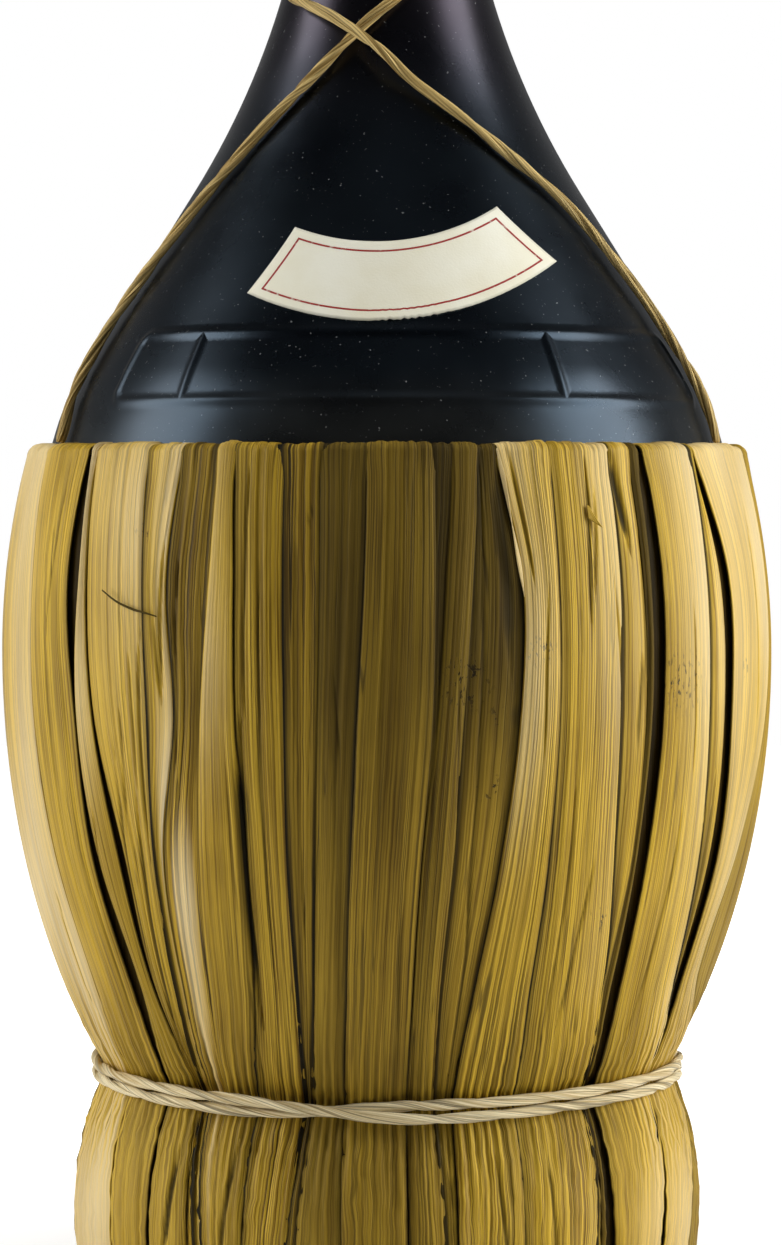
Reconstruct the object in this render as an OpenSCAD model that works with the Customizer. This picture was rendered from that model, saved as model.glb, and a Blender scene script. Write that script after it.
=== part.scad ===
// Straw-covered wine flask: a round glass bottle that cannot stand by itself, held in a
// jacket of dried rush leaves. The leaves fold over a hoop at the rim, draw in under a
// cord at the waist and tuck under a straw foot ring. Millimetres, +Z up, standing at
// z = 0 with the flask's axis on Z. Azimuths are in degrees, 0 at the front (-Y) and
// growing towards +X.

/* [Glass flask] */
// Height of the mouth above the table
flask_h = 340; // [320:1:360]
// Outside radius of the belly at its widest
belly_r = 67.4; // [62:0.2:74]
// Height of the belly's widest place
belly_z = 119; // [114:1:124]
// Depth of the rounded lower bowl below the widest place
bowl_depth = 110; // [106:0.5:111]
// Outside radius of the straight neck
neck_r = 13.4; // [12.6:0.1:16]
// Radius of the hollow curve from the neck into the shoulder
flare_r = 147; // [120:1:160]
// Slope of the shoulder away from the vertical
shoulder_slope = 32; // [29:0.5:36]
// Radius of the curve where the shoulder turns down
turn_r = 45; // [36:1:52]
// Slope at which that curve runs into the belly
turn_slope = 17; // [14:0.5:20]
// Radius of the upper belly's curve
upper_r = 141; // [120:1:160]
// Thickness of the glass wall
wall = 3.2; // [2.4:0.1:4]
// Thickness of the glass at the bottom of the bowl
base_wall = 7.5; // [5:0.5:9]
// Radius of the flat that the glass bottom ends in
base_r = 16; // [12:0.5:22]
// Rise of the dimple under the glass bottom
dimple = 1.5; // [0.5:0.1:2.5]
// Radius of the cork bore
bore_r = 9.25; // [8.8:0.05:9.4]
// Depth of the cork bore below the mouth
bore_depth = 49; // [46:0.5:52]
// How far the lip band stands out from the neck
lip_out = 1.3; // [0.8:0.1:2]
// Height of the lip band
lip_h = 8; // [6:0.5:12]
// Width of the raised lines of the shoulder panels
line_w = 1; // [0.8:0.1:1.4]
// Height of the raised lines above the glass
line_out = 0.45; // [0.3:0.05:0.6]
// Height above the table of the panels' upper line
panel_top = 176.5; // [174.5:0.1:176.6]
// Height above the table of the panels' lower line
panel_bottom = 164.6; // [163:0.2:168]

/* [Cork] */
// Length of the cork
cork_len = 44; // [38:0.5:45]
// Running clearance round the cork
cork_gap = 0.05; // [0.02:0.01:0.1]
// How far the cork's top lies below the mouth
cork_recess = 0.5; // [0:0.1:2]
// Chamfer on the cork's ends
cork_chamfer = 0.6; // [0.3:0.1:1]

/* [Label] */
// Thickness of the paper with its glue
label_t = 0.25; // [0.2:0.05:0.5]
// Height of the centre that the label's curved edges turn about
label_centre_z = 228.9; // [228.6:0.1:231]
// Radius of the label's upper edge, seen from the front
label_top_r = 36.8; // [34:0.2:40]
// Radius of the label's lower edge, seen from the front
label_bottom_r = 50.9; // [46:0.1:51]
// Half the angle that the upper edge spans
label_top_half = 29; // [22:0.5:32]
// Half the angle that the lower edge spans
label_bottom_half = 32.5; // [26:0.5:34]
// Turn of the crooked label, right end up
label_tilt = 6.3; // [0:0.1:9]

/* [Straw jacket] */
// Thickness of one layer of leaf
leaf_t = 1; // [0.7:0.05:1.1]
// Distance from the glass to the jacket's outside
jacket_off = 4; // [3.9:0.05:5]
// Height of the jacket's rim
rim_z = 157.2; // [152:0.2:161]
// Outside radius of the fold at the rim
fold_r = 2; // [1.6:0.1:2.4]
// Thickness of the hoop under the fold
hoop_d = 1.2; // [0.8:0.05:1.2]
// Height of the waist where the jacket is tied
waist_z = 42.4; // [40:0.2:46]
// Outside radius of the foot at its widest
foot_r = 58.4; // [56.5:0.2:62]
// Height of the foot's widest place
foot_z = 16; // [13:0.5:18]
// Radius of the jacket's lower edge
toe_r = 8; // [6:0.5:9]
// Height of the tucked leaf ends above the table
tuck_lift = 0.8; // [0.5:0.1:1.5]
// Radius at which the tucked leaf ends stop
tuck_r = 46; // [45:0.5:48]
// Seam between leaves side by side, in degrees
seam = 0.4; // [0.2:0.1:0.8]
// Leaves on the back, from the right side round to the left
back_leaves = 18; // [12:1:18]
// Strips of the lining
lining_strips = 10; // [8:1:10]

/* [Foot ring] */
// Inside radius of the straw foot ring
ring_in_r = 37; // [34:0.5:39]
// Height of the ring's top
ring_top_z = 33; // [31:0.5:35]

/* [Cords] */
// Diameter of the cord round the neck
neck_cord_d = 2.2; // [1.8:0.1:2.4]
// Diameter of the cord round the waist
waist_cord_d = 2.2; // [1.8:0.1:2.4]
// Turns of the cord round the waist
waist_turns = 2; // [2:1:2]
// Length of the knot at the back of the waist
knot_len = 7; // [6:0.5:9]

/* [Fits] */
// Clearance between pieces that lie against each other
seat = 0.3; // [0.2:0.02:0.34]
// Clearance under the glued label
glue = 0.1; // [0.05:0.01:0.2]
// Space kept between two strands of cord
strand_gap = 0.5; // [0.45:0.05:0.7]

/* [Hidden] */
$fn = 96;
// Leaves on the front half as start and end azimuths, in the widths that they really have
FRONT = [
    [-84, -69.3], [-68.8, -56.4], [-55.4, -53.2], [-52.4, -42.2], [-41.8, -36.2],
    [-35.8, -27.8], [-27.4, -22.4], [-22, -16.8], [-16.2, -10.5], [-10.1, -3.4],
    [-3, 4.9], [5.2, 7.6], [8.4, 13], [13.4, 17.2], [19.4, 26.9],
    [27.3, 37.8], [38.2, 43.8], [44.6, 45.6], [46.4, 58.2], [58.9, 62.3],
    [63.1, 75.8], [76.2, 89.6]
];
FRONT_END = 89.6;
// Uneven growth of the back leaves, as a share of their even width
BACK_SWAY = 0.16;
two_digits = function (i) i < 9 ? str("0", i + 1) : str(i + 1);
LEAF_COUNT = len(FRONT) + back_leaves;
LEAVES = [for (i = [0 : LEAF_COUNT - 1]) str("straw_leaf_", two_digits(i))];
LININGS = [for (i = [0 : lining_strips - 1]) str("lining_strip_", two_digits(i))];
PIECES = ["glass_flask", "cork", "label", "neck_cord", "waist_cord", "waist_knot",
          "rim_hoop", "foot_ring"];

// Points [r, z] along an arc about a centre, from one angle to another
function arc(c, r, a0, a1, n) =
    [for (i = [0 : n]) let (a = a0 + (a1 - a0) * i / n) [c[0] + r * cos(a), c[1] + r * sin(a)]];
function reversed(p) = [for (i = [len(p) - 1 : -1 : 0]) p[i]];

// The flask's outside from neck to bowl, moved in by a depth: hollow flare, straight
// shoulder, two convex curves and the egg-shaped bowl
UPPER_C = [belly_r - upper_r, belly_z];
TURN_C = UPPER_C + (upper_r - turn_r) * [cos(turn_slope), sin(turn_slope)];
SHOULDER_LOW = TURN_C + turn_r * [cos(shoulder_slope), sin(shoulder_slope)];
FLARE_END_R = neck_r + flare_r * (1 - cos(shoulder_slope));
FLARE_Z = SHOULDER_LOW[1] + (SHOULDER_LOW[0] - FLARE_END_R) / tan(shoulder_slope)
    + flare_r * sin(shoulder_slope);
FLARE_C = [neck_r + flare_r, FLARE_Z];
function upper_line(depth) = concat(
    arc(FLARE_C, flare_r + depth, 180, 180 + shoulder_slope, 12),
    arc(TURN_C, turn_r - depth, shoulder_slope, turn_slope, 5),
    arc(UPPER_C, upper_r - depth, turn_slope, 0, 6));
function bowl_line(rx, rz, end_r) = let (a1 = acos(end_r / rx)) [
    for (i = [1 : 18]) let (a = a1 * i / 18) [rx * cos(a), belly_z - rz * sin(a)]];

OUTSIDE = concat(upper_line(0), bowl_line(belly_r, bowl_depth, base_r));
GLASS_TABLE = [for (p = concat([[neck_r, flask_h]], OUTSIDE)) [p[1], p[0]]];
function glass_r(z) = lookup(z, GLASS_TABLE);
// Outward normal [r, z] of the glass at a height
NORMAL_STEP = 0.5;
function glass_normal(z) =
    let (lean = (glass_r(z + NORMAL_STEP) - glass_r(z - NORMAL_STEP)) / (2 * NORMAL_STEP))
    [1, -lean] / norm([1, lean]);

BOTTOM_Z = OUTSIDE[len(OUTSIDE) - 1][1];
HEEL = 4;
HEEL_DROP = 0.9;
// Radius of the small flats at the middle of the glass bottom, inside and out
CENTRE_FLAT = 2;
LIP_EDGE = 1;
MOUTH_CHAMFER = 0.8;
module flask_solid() {
    lip_r = neck_r + lip_out;
    lip_base = flask_h - lip_h;
    rotate_extrude()
        polygon(concat(
            [[0, flask_h], [lip_r - LIP_EDGE, flask_h], [lip_r, flask_h - LIP_EDGE],
             [lip_r, lip_base + LIP_EDGE], [lip_r - lip_out, lip_base]],
            OUTSIDE,
            [[base_r - HEEL, BOTTOM_Z - HEEL_DROP],
             [CENTRE_FLAT, BOTTOM_Z - HEEL_DROP + dimple],
             [0, BOTTOM_Z - HEEL_DROP + dimple]]));
}

module flask_hollow() {
    bowl = bowl_line(belly_r - wall, bowl_depth - base_wall, CENTRE_FLAT);
    mouth_r = bore_r + MOUTH_CHAMFER;
    rotate_extrude()
        polygon(concat(
            [[0, flask_h + 1], [mouth_r, flask_h + 1], [mouth_r, flask_h],
             [bore_r, flask_h - MOUTH_CHAMFER], [bore_r, flask_h - bore_depth]],
            upper_line(wall), bowl, [[0, bowl[len(bowl) - 1][1]]]));
}

// Band [r, z] that follows the glass between two heights and stands out from it
SINK = 0.6;
module glass_band(z0, z1, out, steps) {
    zs = [for (i = [0 : steps]) z0 + (z1 - z0) * i / steps];
    polygon(concat(
        [for (z = zs) [glass_r(z) + out, z]],
        [for (z = reversed(zs)) [glass_r(z) - SINK, z]]));
}

module turned(a0, a1) {
    rotate([0, 0, a0 - 90]) rotate_extrude(angle = a1 - a0) children();
}

// Azimuths of the upright lines at the ends of the panels and between them. They stand
// out a little less than the long lines that they run between
PANEL_BARS = [-54, -37, 31.2, 68];
BAR_SHARE = 0.8;
module panel_lines() {
    for (z = [panel_bottom, panel_top])
        turned(PANEL_BARS[0] - 1, PANEL_BARS[3] + 1)
            glass_band(z - line_w / 2, z + line_w / 2, line_out, 1);
    for (a = PANEL_BARS)
        let (half = line_w / 2 / glass_r(panel_top) * 180 / PI)
        turned(a - half, a + half)
            glass_band(panel_bottom, panel_top, line_out * BAR_SHARE, 3);
}

module glass_flask() {
    color("#20281c") difference() {
        union() {
            flask_solid();
            panel_lines();
        }
        flask_hollow();
    }
}

module cork() {
    r = bore_r - cork_gap;
    top = flask_h - cork_recess;
    color("#b98d5e") rotate_extrude()
        polygon([[0, top], [r - cork_chamfer, top], [r, top - cork_chamfer],
                 [r, top - cork_len + cork_chamfer], [r - cork_chamfer, top - cork_len],
                 [0, top - cork_len]]);
}

// The label is a smile-shaped paper on the straight shoulder, cut out as it looks from
// the front
LABEL_CENTRE_X = -1.9;
function label_edge(r, half) =
    [for (i = [0 : 10]) let (a = -90 + label_tilt - half + 2 * half * i / 10)
        [LABEL_CENTRE_X + r * cos(a), label_centre_z + r * sin(a)]];
module label() {
    reach = label_bottom_r + abs(label_tilt);
    low = label_centre_z - label_bottom_r - 1;
    high = min(label_centre_z - label_top_r * cos(label_top_half + label_tilt) + 1, FLARE_Z);
    lean = cos(shoulder_slope);
    steps = 6;
    zs = [for (i = [0 : steps]) low + (high - low) * i / steps];
    color("#ded8bd") intersection() {
        turned(-89, 89)
            polygon(concat(
                [for (z = zs) [glass_r(z) + (glue + label_t) / lean, z]],
                [for (z = reversed(zs)) [glass_r(z) + glue / lean, z]]));
        rotate([90, 0, 0]) linear_extrude(reach)
            polygon(concat(label_edge(label_top_r, label_top_half),
                           reversed(label_edge(label_bottom_r, label_bottom_half))));
    }
}

// The jacket's outside: beside the glass down to the waist, then a foot that swells out
// in one arc through the waist and the foot's widest place
WAIST_R = glass_r(waist_z) + jacket_off;
FOOT_CURVE_R = (pow(foot_r - WAIST_R, 2) + pow(waist_z - foot_z, 2)) / (2 * (foot_r - WAIST_R));
function jacket_r(z) = z > waist_z ? glass_r(z) + jacket_off
    : foot_r - FOOT_CURVE_R + sqrt(pow(FOOT_CURVE_R, 2) - pow(z - foot_z, 2));

// One leaf layer's line [r, z] at a depth under the jacket's outside, from below the rim
// to the tucked end
FOLD_Z = rim_z - fold_r;
TOE_Z = tuck_lift + toe_r;
TOE_C = [jacket_r(TOE_Z) - toe_r, TOE_Z];
BODY_STEPS = 14;
FOOT_STEPS = 5;
function side_line(depth) = concat(
    [for (i = [0 : BODY_STEPS]) let (z = FOLD_Z + (waist_z - FOLD_Z) * i / BODY_STEPS)
        [jacket_r(z) - depth, z]],
    [for (i = [1 : FOOT_STEPS]) let (z = waist_z + (TOE_Z - waist_z) * i / FOOT_STEPS)
        [jacket_r(z) - depth, z]],
    [for (p = arc(TOE_C, toe_r - depth, -18, -90, 4)) p]);
function tucked_line(depth) = concat(side_line(depth), [[tuck_r, tuck_lift + depth]]);
function lip_line(depth) = concat(
    [[glass_r(rim_z) + seat, rim_z - depth]],
    arc([jacket_r(FOLD_Z) - fold_r, FOLD_Z], fold_r - depth, 90, 18, 4));

module outer_leaf(a0, a1) {
    turned(a0, a1) polygon(concat(
        lip_line(0), tucked_line(0), reversed(tucked_line(leaf_t)), reversed(lip_line(leaf_t))));
}

LINING_DEPTH = leaf_t + seat;
module lining_leaf(a0, a1) {
    turned(a0, a1) polygon(concat(
        tucked_line(LINING_DEPTH), reversed(tucked_line(LINING_DEPTH + leaf_t))));
}

// Azimuths of the back leaves: an even share each, swayed a little as leaves grow
BACK_END = 360 + FRONT[0][0];
BACK_PITCH = (BACK_END - FRONT_END) / back_leaves;
function back_edge(i) = FRONT_END + BACK_PITCH * (i
    + (i > 0 && i < back_leaves ? BACK_SWAY * sin(i * 137) : 0));
function leaf_span(i) = i < len(FRONT) ? FRONT[i]
    : let (k = i - len(FRONT)) [back_edge(k) + seam / 2, back_edge(k + 1) - seam / 2];

STRAW_SHADES = ["#b79b4e", "#a98c40", "#c6ab62", "#9a7d35"];
module straw_leaf(i) {
    span = leaf_span(i);
    color(STRAW_SHADES[i * 3 % len(STRAW_SHADES)]) outer_leaf(span[0], span[1]);
}

module lining_strip(i) {
    pitch = 360 / lining_strips;
    color("#5b4a1e") lining_leaf(pitch * i + seam / 2, pitch * (i + 1) - seam / 2);
}

module rim_hoop() {
    z = rim_z - leaf_t - seat - hoop_d / 2;
    color("#8a7030") rotate_extrude()
        translate([glass_r(z) + seat + hoop_d / 2, z]) circle(d = hoop_d, $fn = 24);
}

// The foot ring is rolled straw: flat on the table, cupped for the bowl above, and as
// round outside as the jacket over it
RING_DEPTH = 2 * (leaf_t + seat);
CUP_STEPS = 5;
RING_EDGE = 3;
module foot_ring() {
    outer_zs = [for (i = [0 : 4]) TOE_Z + (ring_top_z - RING_EDGE - TOE_Z) * i / 4];
    cup_low = belly_z - bowl_depth * sqrt(1 - pow(ring_in_r / belly_r, 2)) - seat;
    cup_zs = [for (i = [0 : CUP_STEPS]) ring_top_z + (cup_low - ring_top_z) * i / CUP_STEPS];
    cup = [for (z = cup_zs)
        let (n = glass_normal(z)) [glass_r(z) + seat * n[0], z + seat * n[1]]];
    top_r = jacket_r(ring_top_z) - RING_DEPTH - RING_EDGE;
    color("#a58a45") rotate_extrude()
        polygon(concat(
            [[ring_in_r, 0], [tuck_r - seat, 0], [tuck_r - seat, tuck_lift + RING_DEPTH]],
            reversed(arc(TOE_C, toe_r - RING_DEPTH, 0, -90, 4)),
            [for (z = outer_zs) [jacket_r(z) - RING_DEPTH, z]],
            [[top_r, ring_top_z]],
            [for (p = cup) if (p[0] > ring_in_r) p],
            [[ring_in_r, cup_low - seat]]));
}

// A tube of six sides along a path. Each ring keeps one corner turned away from the axis
SIDES = 6;
function unit(v) = v / norm(v);
function ring_at(p, k, r) =
    let (a = p[max(k - 1, 0)], b = p[min(k + 1, len(p) - 1)], t = unit(b - a),
         out = unit([p[k][0], p[k][1], 0]), u = unit(out - t * (out * t)), v = cross(t, u))
    [for (s = [0 : SIDES - 1]) p[k] + r * (cos(360 * s / SIDES) * u + sin(360 * s / SIDES) * v)];
module tube(p, d) {
    n = len(p);
    points = [for (k = [0 : n - 1]) each ring_at(p, k, d / 2)];
    sides = [for (k = [0 : n - 2]) for (s = [0 : SIDES - 1])
        let (a = k * SIDES + s, b = k * SIDES + (s + 1) % SIDES)
        each [[a, a + SIDES, b], [b, a + SIDES, b + SIDES]]];
    caps = [for (s = [1 : SIDES - 2])
        each [[0, s, s + 1], [(n - 1) * SIDES, (n - 1) * SIDES + s + 1, (n - 1) * SIDES + s]]];
    polyhedron(points, concat(sides, caps));
}
// Least gap between strands that pass each other, for points at least a span apart
function least_gap(p, d, span) = min([
    for (i = [0 : len(p) - 1]) for (j = [i + span : 1 : len(p) - 1]) norm(p[i] - p[j])]) - d;

// A smooth curve through chosen points, each a list of numbers
function curve_at(p, u) =
    let (last = len(p) - 1, i = min(floor(u), last - 1), t = u - i, b = p[i], c = p[i + 1],
         a = i > 0 ? p[i - 1] : 2 * b - c, d = i + 2 <= last ? p[i + 2] : 2 * c - b)
    (2 * b + (c - a) * t + (2 * a - 5 * b + 4 * c - d) * t * t
        + (3 * b - a - 3 * c + d) * t * t * t) / 2;
function around(az, r, z) = [r * sin(az), -r * cos(az), z];

// The neck cord comes up from the rim on the left, crosses under itself at the front,
// goes round the neck and comes down over the crossing to the rim on the right.
// Each point is an azimuth, a height and a lift in strands of cord
NECK_ROUTE = [
    [-67.5, 160, 0], [-70, 169, 0], [-71, 178, 0], [-68.5, 186, 0], [-62, 196.5, 0],
    [-53, 206.5, 0], [-43, 214.3, 0], [-30, 222, 0], [-15.5, 229.5, 0], [1.5, 236, 0],
    [40, 247, 0], [90, 253, 0], [140, 256, 0], [190, 256, 0], [240, 252, 0],
    [280, 244.5, 0], [306, 238.5, 0.3], [330, 234, 1], [344, 230.5, 1.05], [357, 226, 1],
    [369, 221, 0.3], [388, 213.7, 0], [402, 206.5, 0], [413.5, 200, 0], [422, 191, 0.04],
    [427, 182, 0.1], [428.5, 172, 0.1], [429, 160, 0.08]
];
NECK_RINGS = 81;
NECK_SPAN = 12;
function on_glass(az, z, lift) = let (n = glass_normal(z))
    around(az, glass_r(z) + lift * n[0], z + lift * n[1]);
function neck_path(rings) = [
    for (k = [0 : rings])
        let (q = curve_at(NECK_ROUTE, k * (len(NECK_ROUTE) - 1) / rings))
        on_glass(q[0], q[1], seat + neck_cord_d / 2 + q[2] * (neck_cord_d + strand_gap))];
// The cord ends square on the rim's fold, which it goes under
function neck_end(az) = [
    for (z = [rim_z + seat, rim_z + seat + 1.5])
        around(az, glass_r(rim_z) + seat + neck_cord_d / 2, z)];
function neck_cord_path(rings) = concat(
    neck_end(NECK_ROUTE[0][0]), neck_path(rings),
    reversed(neck_end(NECK_ROUTE[len(NECK_ROUTE) - 1][0])));

module neck_cord() {
    color("#c3a655") tube(neck_cord_path(NECK_RINGS), neck_cord_d);
}

// The waist cord makes two turns from the knot and back to it. The first turn runs high
// on the left, crosses over the second at the front and runs low on the right
WAIST_RINGS = 24;
CROSS_AZ = -10;
CROSS_HALF = 20;
LIFT_HALF = 46;
KNOT_HALF = knot_len / 2 / WAIST_R * 180 / PI;
TURN_GAP = waist_cord_d + strand_gap;
// Length of the jacket's slope just above the waist, the steeper side of the valley there
WAIST_LEAN = norm([1, (jacket_r(waist_z + NORMAL_STEP) - WAIST_R) / NORMAL_STEP]);
// Distance from the axis of a round piece that lies on the jacket at the waist
function on_jacket(z, r) = jacket_r(z) + (seat + r) * WAIST_LEAN;
function smooth_step(t) = let (c = min(max(t, 0), 1)) c * c * (3 - 2 * c);
function waist_point(a) =
    let (turn = floor(a / 360), az = a - 360 * turn - 180, from_cross = az - CROSS_AZ,
         side = turn % 2 == 0 ? 1 : -1,
         swap = smooth_step((from_cross + CROSS_HALF) / (2 * CROSS_HALF)),
         lift = side > 0 && abs(from_cross) < LIFT_HALF
             ? pow(cos(90 * from_cross / LIFT_HALF), 2) : 0,
         z = waist_z + side * TURN_GAP / 2 * (1 - 2 * swap),
         r = on_jacket(z, waist_cord_d / 2) / cos(180 / WAIST_RINGS) + lift * TURN_GAP)
    around(az, r, z);
function waist_cord_path(rings) =
    let (a0 = KNOT_HALF, a1 = 360 * waist_turns - KNOT_HALF, n = round(rings * waist_turns))
    [for (k = [0 : n]) waist_point(a0 + (a1 - a0) * k / n)];

module waist_cord() {
    color("#d3c294") tube(waist_cord_path(WAIST_RINGS), waist_cord_d);
}

// The knot at the back, between the cord's two ends, lies on the leaves just above the turn
// that passes under it
module waist_knot() {
    r = waist_cord_d * 0.85;
    half = knot_len / 2 - seat;
    z = waist_z - TURN_GAP / 2 + waist_cord_d / 2 + seat + r;
    color("#d3c294") translate([0, on_jacket(z, r), z]) rotate([0, 90, 0])
        rotate_extrude()
            polygon([[0, -half], [r * 0.7, -half], [r, -half * 0.4], [r, half * 0.4],
                     [r * 0.7, half], [0, half]]);
}

FINE = 4;
echo(neck_cord_least_gap = least_gap(
    neck_path(NECK_RINGS * FINE), neck_cord_d, NECK_SPAN * FINE));
echo(waist_cord_least_gap = least_gap(
    waist_cord_path(WAIST_RINGS * FINE), waist_cord_d, WAIST_RINGS * FINE / 2));

glass_flask();
cork();
label();
neck_cord();
waist_cord();
waist_knot();
rim_hoop();
foot_ring();
for (i = [0 : LEAF_COUNT - 1]) straw_leaf(i);
for (i = [0 : lining_strips - 1]) lining_strip(i);
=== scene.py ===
import math
import random

import bpy
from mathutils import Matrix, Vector, noise


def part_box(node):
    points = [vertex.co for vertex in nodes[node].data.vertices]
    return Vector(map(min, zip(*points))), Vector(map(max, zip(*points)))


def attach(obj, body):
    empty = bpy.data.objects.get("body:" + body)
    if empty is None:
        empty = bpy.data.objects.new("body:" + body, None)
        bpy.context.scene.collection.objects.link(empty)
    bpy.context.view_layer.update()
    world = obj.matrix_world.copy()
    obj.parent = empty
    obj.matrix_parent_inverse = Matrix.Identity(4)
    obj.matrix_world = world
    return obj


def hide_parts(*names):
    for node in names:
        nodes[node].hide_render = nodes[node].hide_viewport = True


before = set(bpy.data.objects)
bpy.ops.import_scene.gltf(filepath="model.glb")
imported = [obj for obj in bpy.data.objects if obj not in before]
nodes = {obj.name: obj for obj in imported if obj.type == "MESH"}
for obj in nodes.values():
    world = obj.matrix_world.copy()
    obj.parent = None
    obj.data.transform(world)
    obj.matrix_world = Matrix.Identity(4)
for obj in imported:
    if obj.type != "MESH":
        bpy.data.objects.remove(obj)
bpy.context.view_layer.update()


# The picture. The flask stands on a plain pale table between two tall softboxes, the right
# one stronger, with a wide one overhead and a weak fill in front. The camera stands level
# with the belly.
MM = 0.001
CAMERA_PLACE = (0.0007, -0.705, 0.149)
CAMERA_TILT = 88
LENS = 109.6
FILM = 36

bpy.context.scene.view_settings.view_transform = "Standard"
bpy.ops.object.select_all(action="DESELECT")
bpy.ops.object.camera_add(location=CAMERA_PLACE, rotation=(math.radians(CAMERA_TILT), 0, 0))
camera = bpy.context.object
camera.data.lens = LENS
camera.data.sensor_width = FILM
bpy.context.scene.camera = camera

BELLY = Vector((0, 0, 0.13))
# Azimuth and elevation in degrees, distance, width, height in metres, watts
SOFTBOXES = {
    "left_softbox": (-84, 14, 0.9, 0.45, 1.0, 7.4),
    "right_softbox": (80, 14, 0.9, 0.5, 1.0, 10),
    "top_softbox": (180, 80, 1.0, 0.8, 0.5, 4),
    "front_fill": (0, 72, 1.0, 0.6, 0.4, 1.5),
}
for name, (azimuth, elevation, distance, width, height, watts) in SOFTBOXES.items():
    side, up = math.radians(azimuth), math.radians(elevation)
    away = Vector((math.sin(side) * math.cos(up), -math.cos(side) * math.cos(up), math.sin(up)))
    bpy.ops.object.light_add(type="AREA", location=BELLY + away * distance)
    softbox = bpy.context.object
    softbox.name = name
    softbox.rotation_euler = away.to_track_quat("Z", "Y").to_euler()
    softbox.data.shape = "RECTANGLE"
    softbox.data.size = width
    softbox.data.size_y = height
    softbox.data.energy = watts
    softbox.visible_glossy = name not in ("front_fill", "top_softbox")


def feed(tree, made, inputs):
    """Gives each named input of a node its value, or links the output that it takes"""
    for name, value in inputs.items():
        if isinstance(value, bpy.types.NodeSocket):
            tree.links.new(value, made.inputs[name])
        else:
            made.inputs[name].default_value = value


def node(tree, kind, inputs=None, **settings):
    """Adds a shader node with its own settings, and feeds its inputs"""
    made = tree.nodes.new(kind)
    for name, value in settings.items():
        setattr(made, name, value)
    feed(tree, made, inputs or {})
    return made


def maths(tree, operation, first, second):
    """One sum of two values, each an output or a number"""
    return node(tree, "ShaderNodeMath", {0: first, 1: second}, operation=operation).outputs[0]


def ranged(tree, source, low, high, to_low=0, to_high=1, curve="SMOOTHSTEP"):
    """A value taken from one range to another"""
    return node(tree, "ShaderNodeMapRange", {
        "Value": source, "From Min": low, "From Max": high, "To Min": to_low, "To Max": to_high,
    }, interpolation_type=curve).outputs["Result"]


def mixed(tree, factor, first, second, blend="MIX"):
    """A mix of two colours, each an output or a colour"""
    return node(tree, "ShaderNodeMix", {"Factor": factor, "A": first, "B": second},
                data_type="RGBA", blend_type=blend).outputs["Result"]


# What the eye or a glass sees of the room is white; what lights the object is dim
world = bpy.data.worlds.new("studio")
bpy.context.scene.world = world
world.use_nodes = True
tree = world.node_tree
tree.nodes.clear()
ray = node(tree, "ShaderNodeLightPath").outputs
direction = node(tree, "ShaderNodeTexCoord").outputs["Generated"]
depth = node(tree, "ShaderNodeSeparateXYZ", {0: direction}).outputs["Y"]
seen = maths(tree, "MAXIMUM", ray["Is Camera Ray"], ray["Is Transmission Ray"])
room = mixed(tree, seen, (0.055, 0.055, 0.055, 1), (1, 1, 1, 1))
room = mixed(tree, ray["Is Glossy Ray"], room, ranged(tree, depth, 0.1, 0.9, 0.01, 0.2, "LINEAR"))
sky = node(tree, "ShaderNodeBackground", {"Color": room})
node(tree, "ShaderNodeOutputWorld", {"Surface": sky.outputs[0]})


def finish(name):
    """Adds a material, and gives it with its node tree and its shader"""
    made = bpy.data.materials.new(name)
    made.use_nodes = True
    return made, made.node_tree, made.node_tree.nodes["Principled BSDF"]


def coat(piece, material):
    """Gives a piece its one material"""
    piece.data.materials.clear()
    piece.data.materials.append(material)


bpy.ops.mesh.primitive_plane_add(size=3, location=(0, 0, -0.2 * MM))
table = bpy.context.object
table.name = "table"
pale, tree, shader = finish("pale_table")
ray = node(tree, "ShaderNodeLightPath").outputs
place = node(tree, "ShaderNodeTexCoord").outputs["Object"]
away = node(tree, "ShaderNodeVectorMath", {0: place}, operation="LENGTH").outputs["Value"]
seen = maths(tree, "MAXIMUM", ray["Is Camera Ray"], ray["Is Transmission Ray"])
feed(tree, shader, {
    "Base Color": (0.8, 0.8, 0.8, 1), "Roughness": 0.9, "Specular IOR Level": 0.1,
    "Emission Color": (1, 1, 1, 1),
    "Emission Strength": maths(tree, "MULTIPLY", seen, ranged(tree, away, 0.08, 0.4, 0.5, 1))})
coat(table, pale)


# The glass flask: a blown bottle with a long neck, a straight shoulder, a round belly and
# an egg-shaped bottom that cannot stand. Its outline is spun round the axis, with the
# thick wall and the straight bore for the cork inside it.
FLASK_H, BELLY_R, BELLY_Z, BOWL_DEPTH = 340 * MM, 67.4 * MM, 119 * MM, 110 * MM
NECK_R, FLARE_R, TURN_R, UPPER_R = 13.4 * MM, 147 * MM, 45 * MM, 141 * MM
SHOULDER_SLOPE, TURN_SLOPE = math.radians(32), math.radians(17)
WALL, BASE_WALL, BASE_R = 3.2 * MM, 7.5 * MM, 16 * MM
HEEL, HEEL_DROP, DIMPLE = 4 * MM, 0.9 * MM, 1.5 * MM
BORE_R, BORE_DEPTH, MOUTH_CHAMFER = 9.25 * MM, 49 * MM, 0.8 * MM
LIP_OUT, LIP_H = 1.3 * MM, 8 * MM


def arc(centre, radius, start, end, steps):
    """Points (r, z) along an arc about a centre, between two angles in radians"""
    angles = [start + (end - start) * i / steps for i in range(steps + 1)]
    return [(centre[0] + radius * math.cos(a), centre[1] + radius * math.sin(a)) for a in angles]


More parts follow.
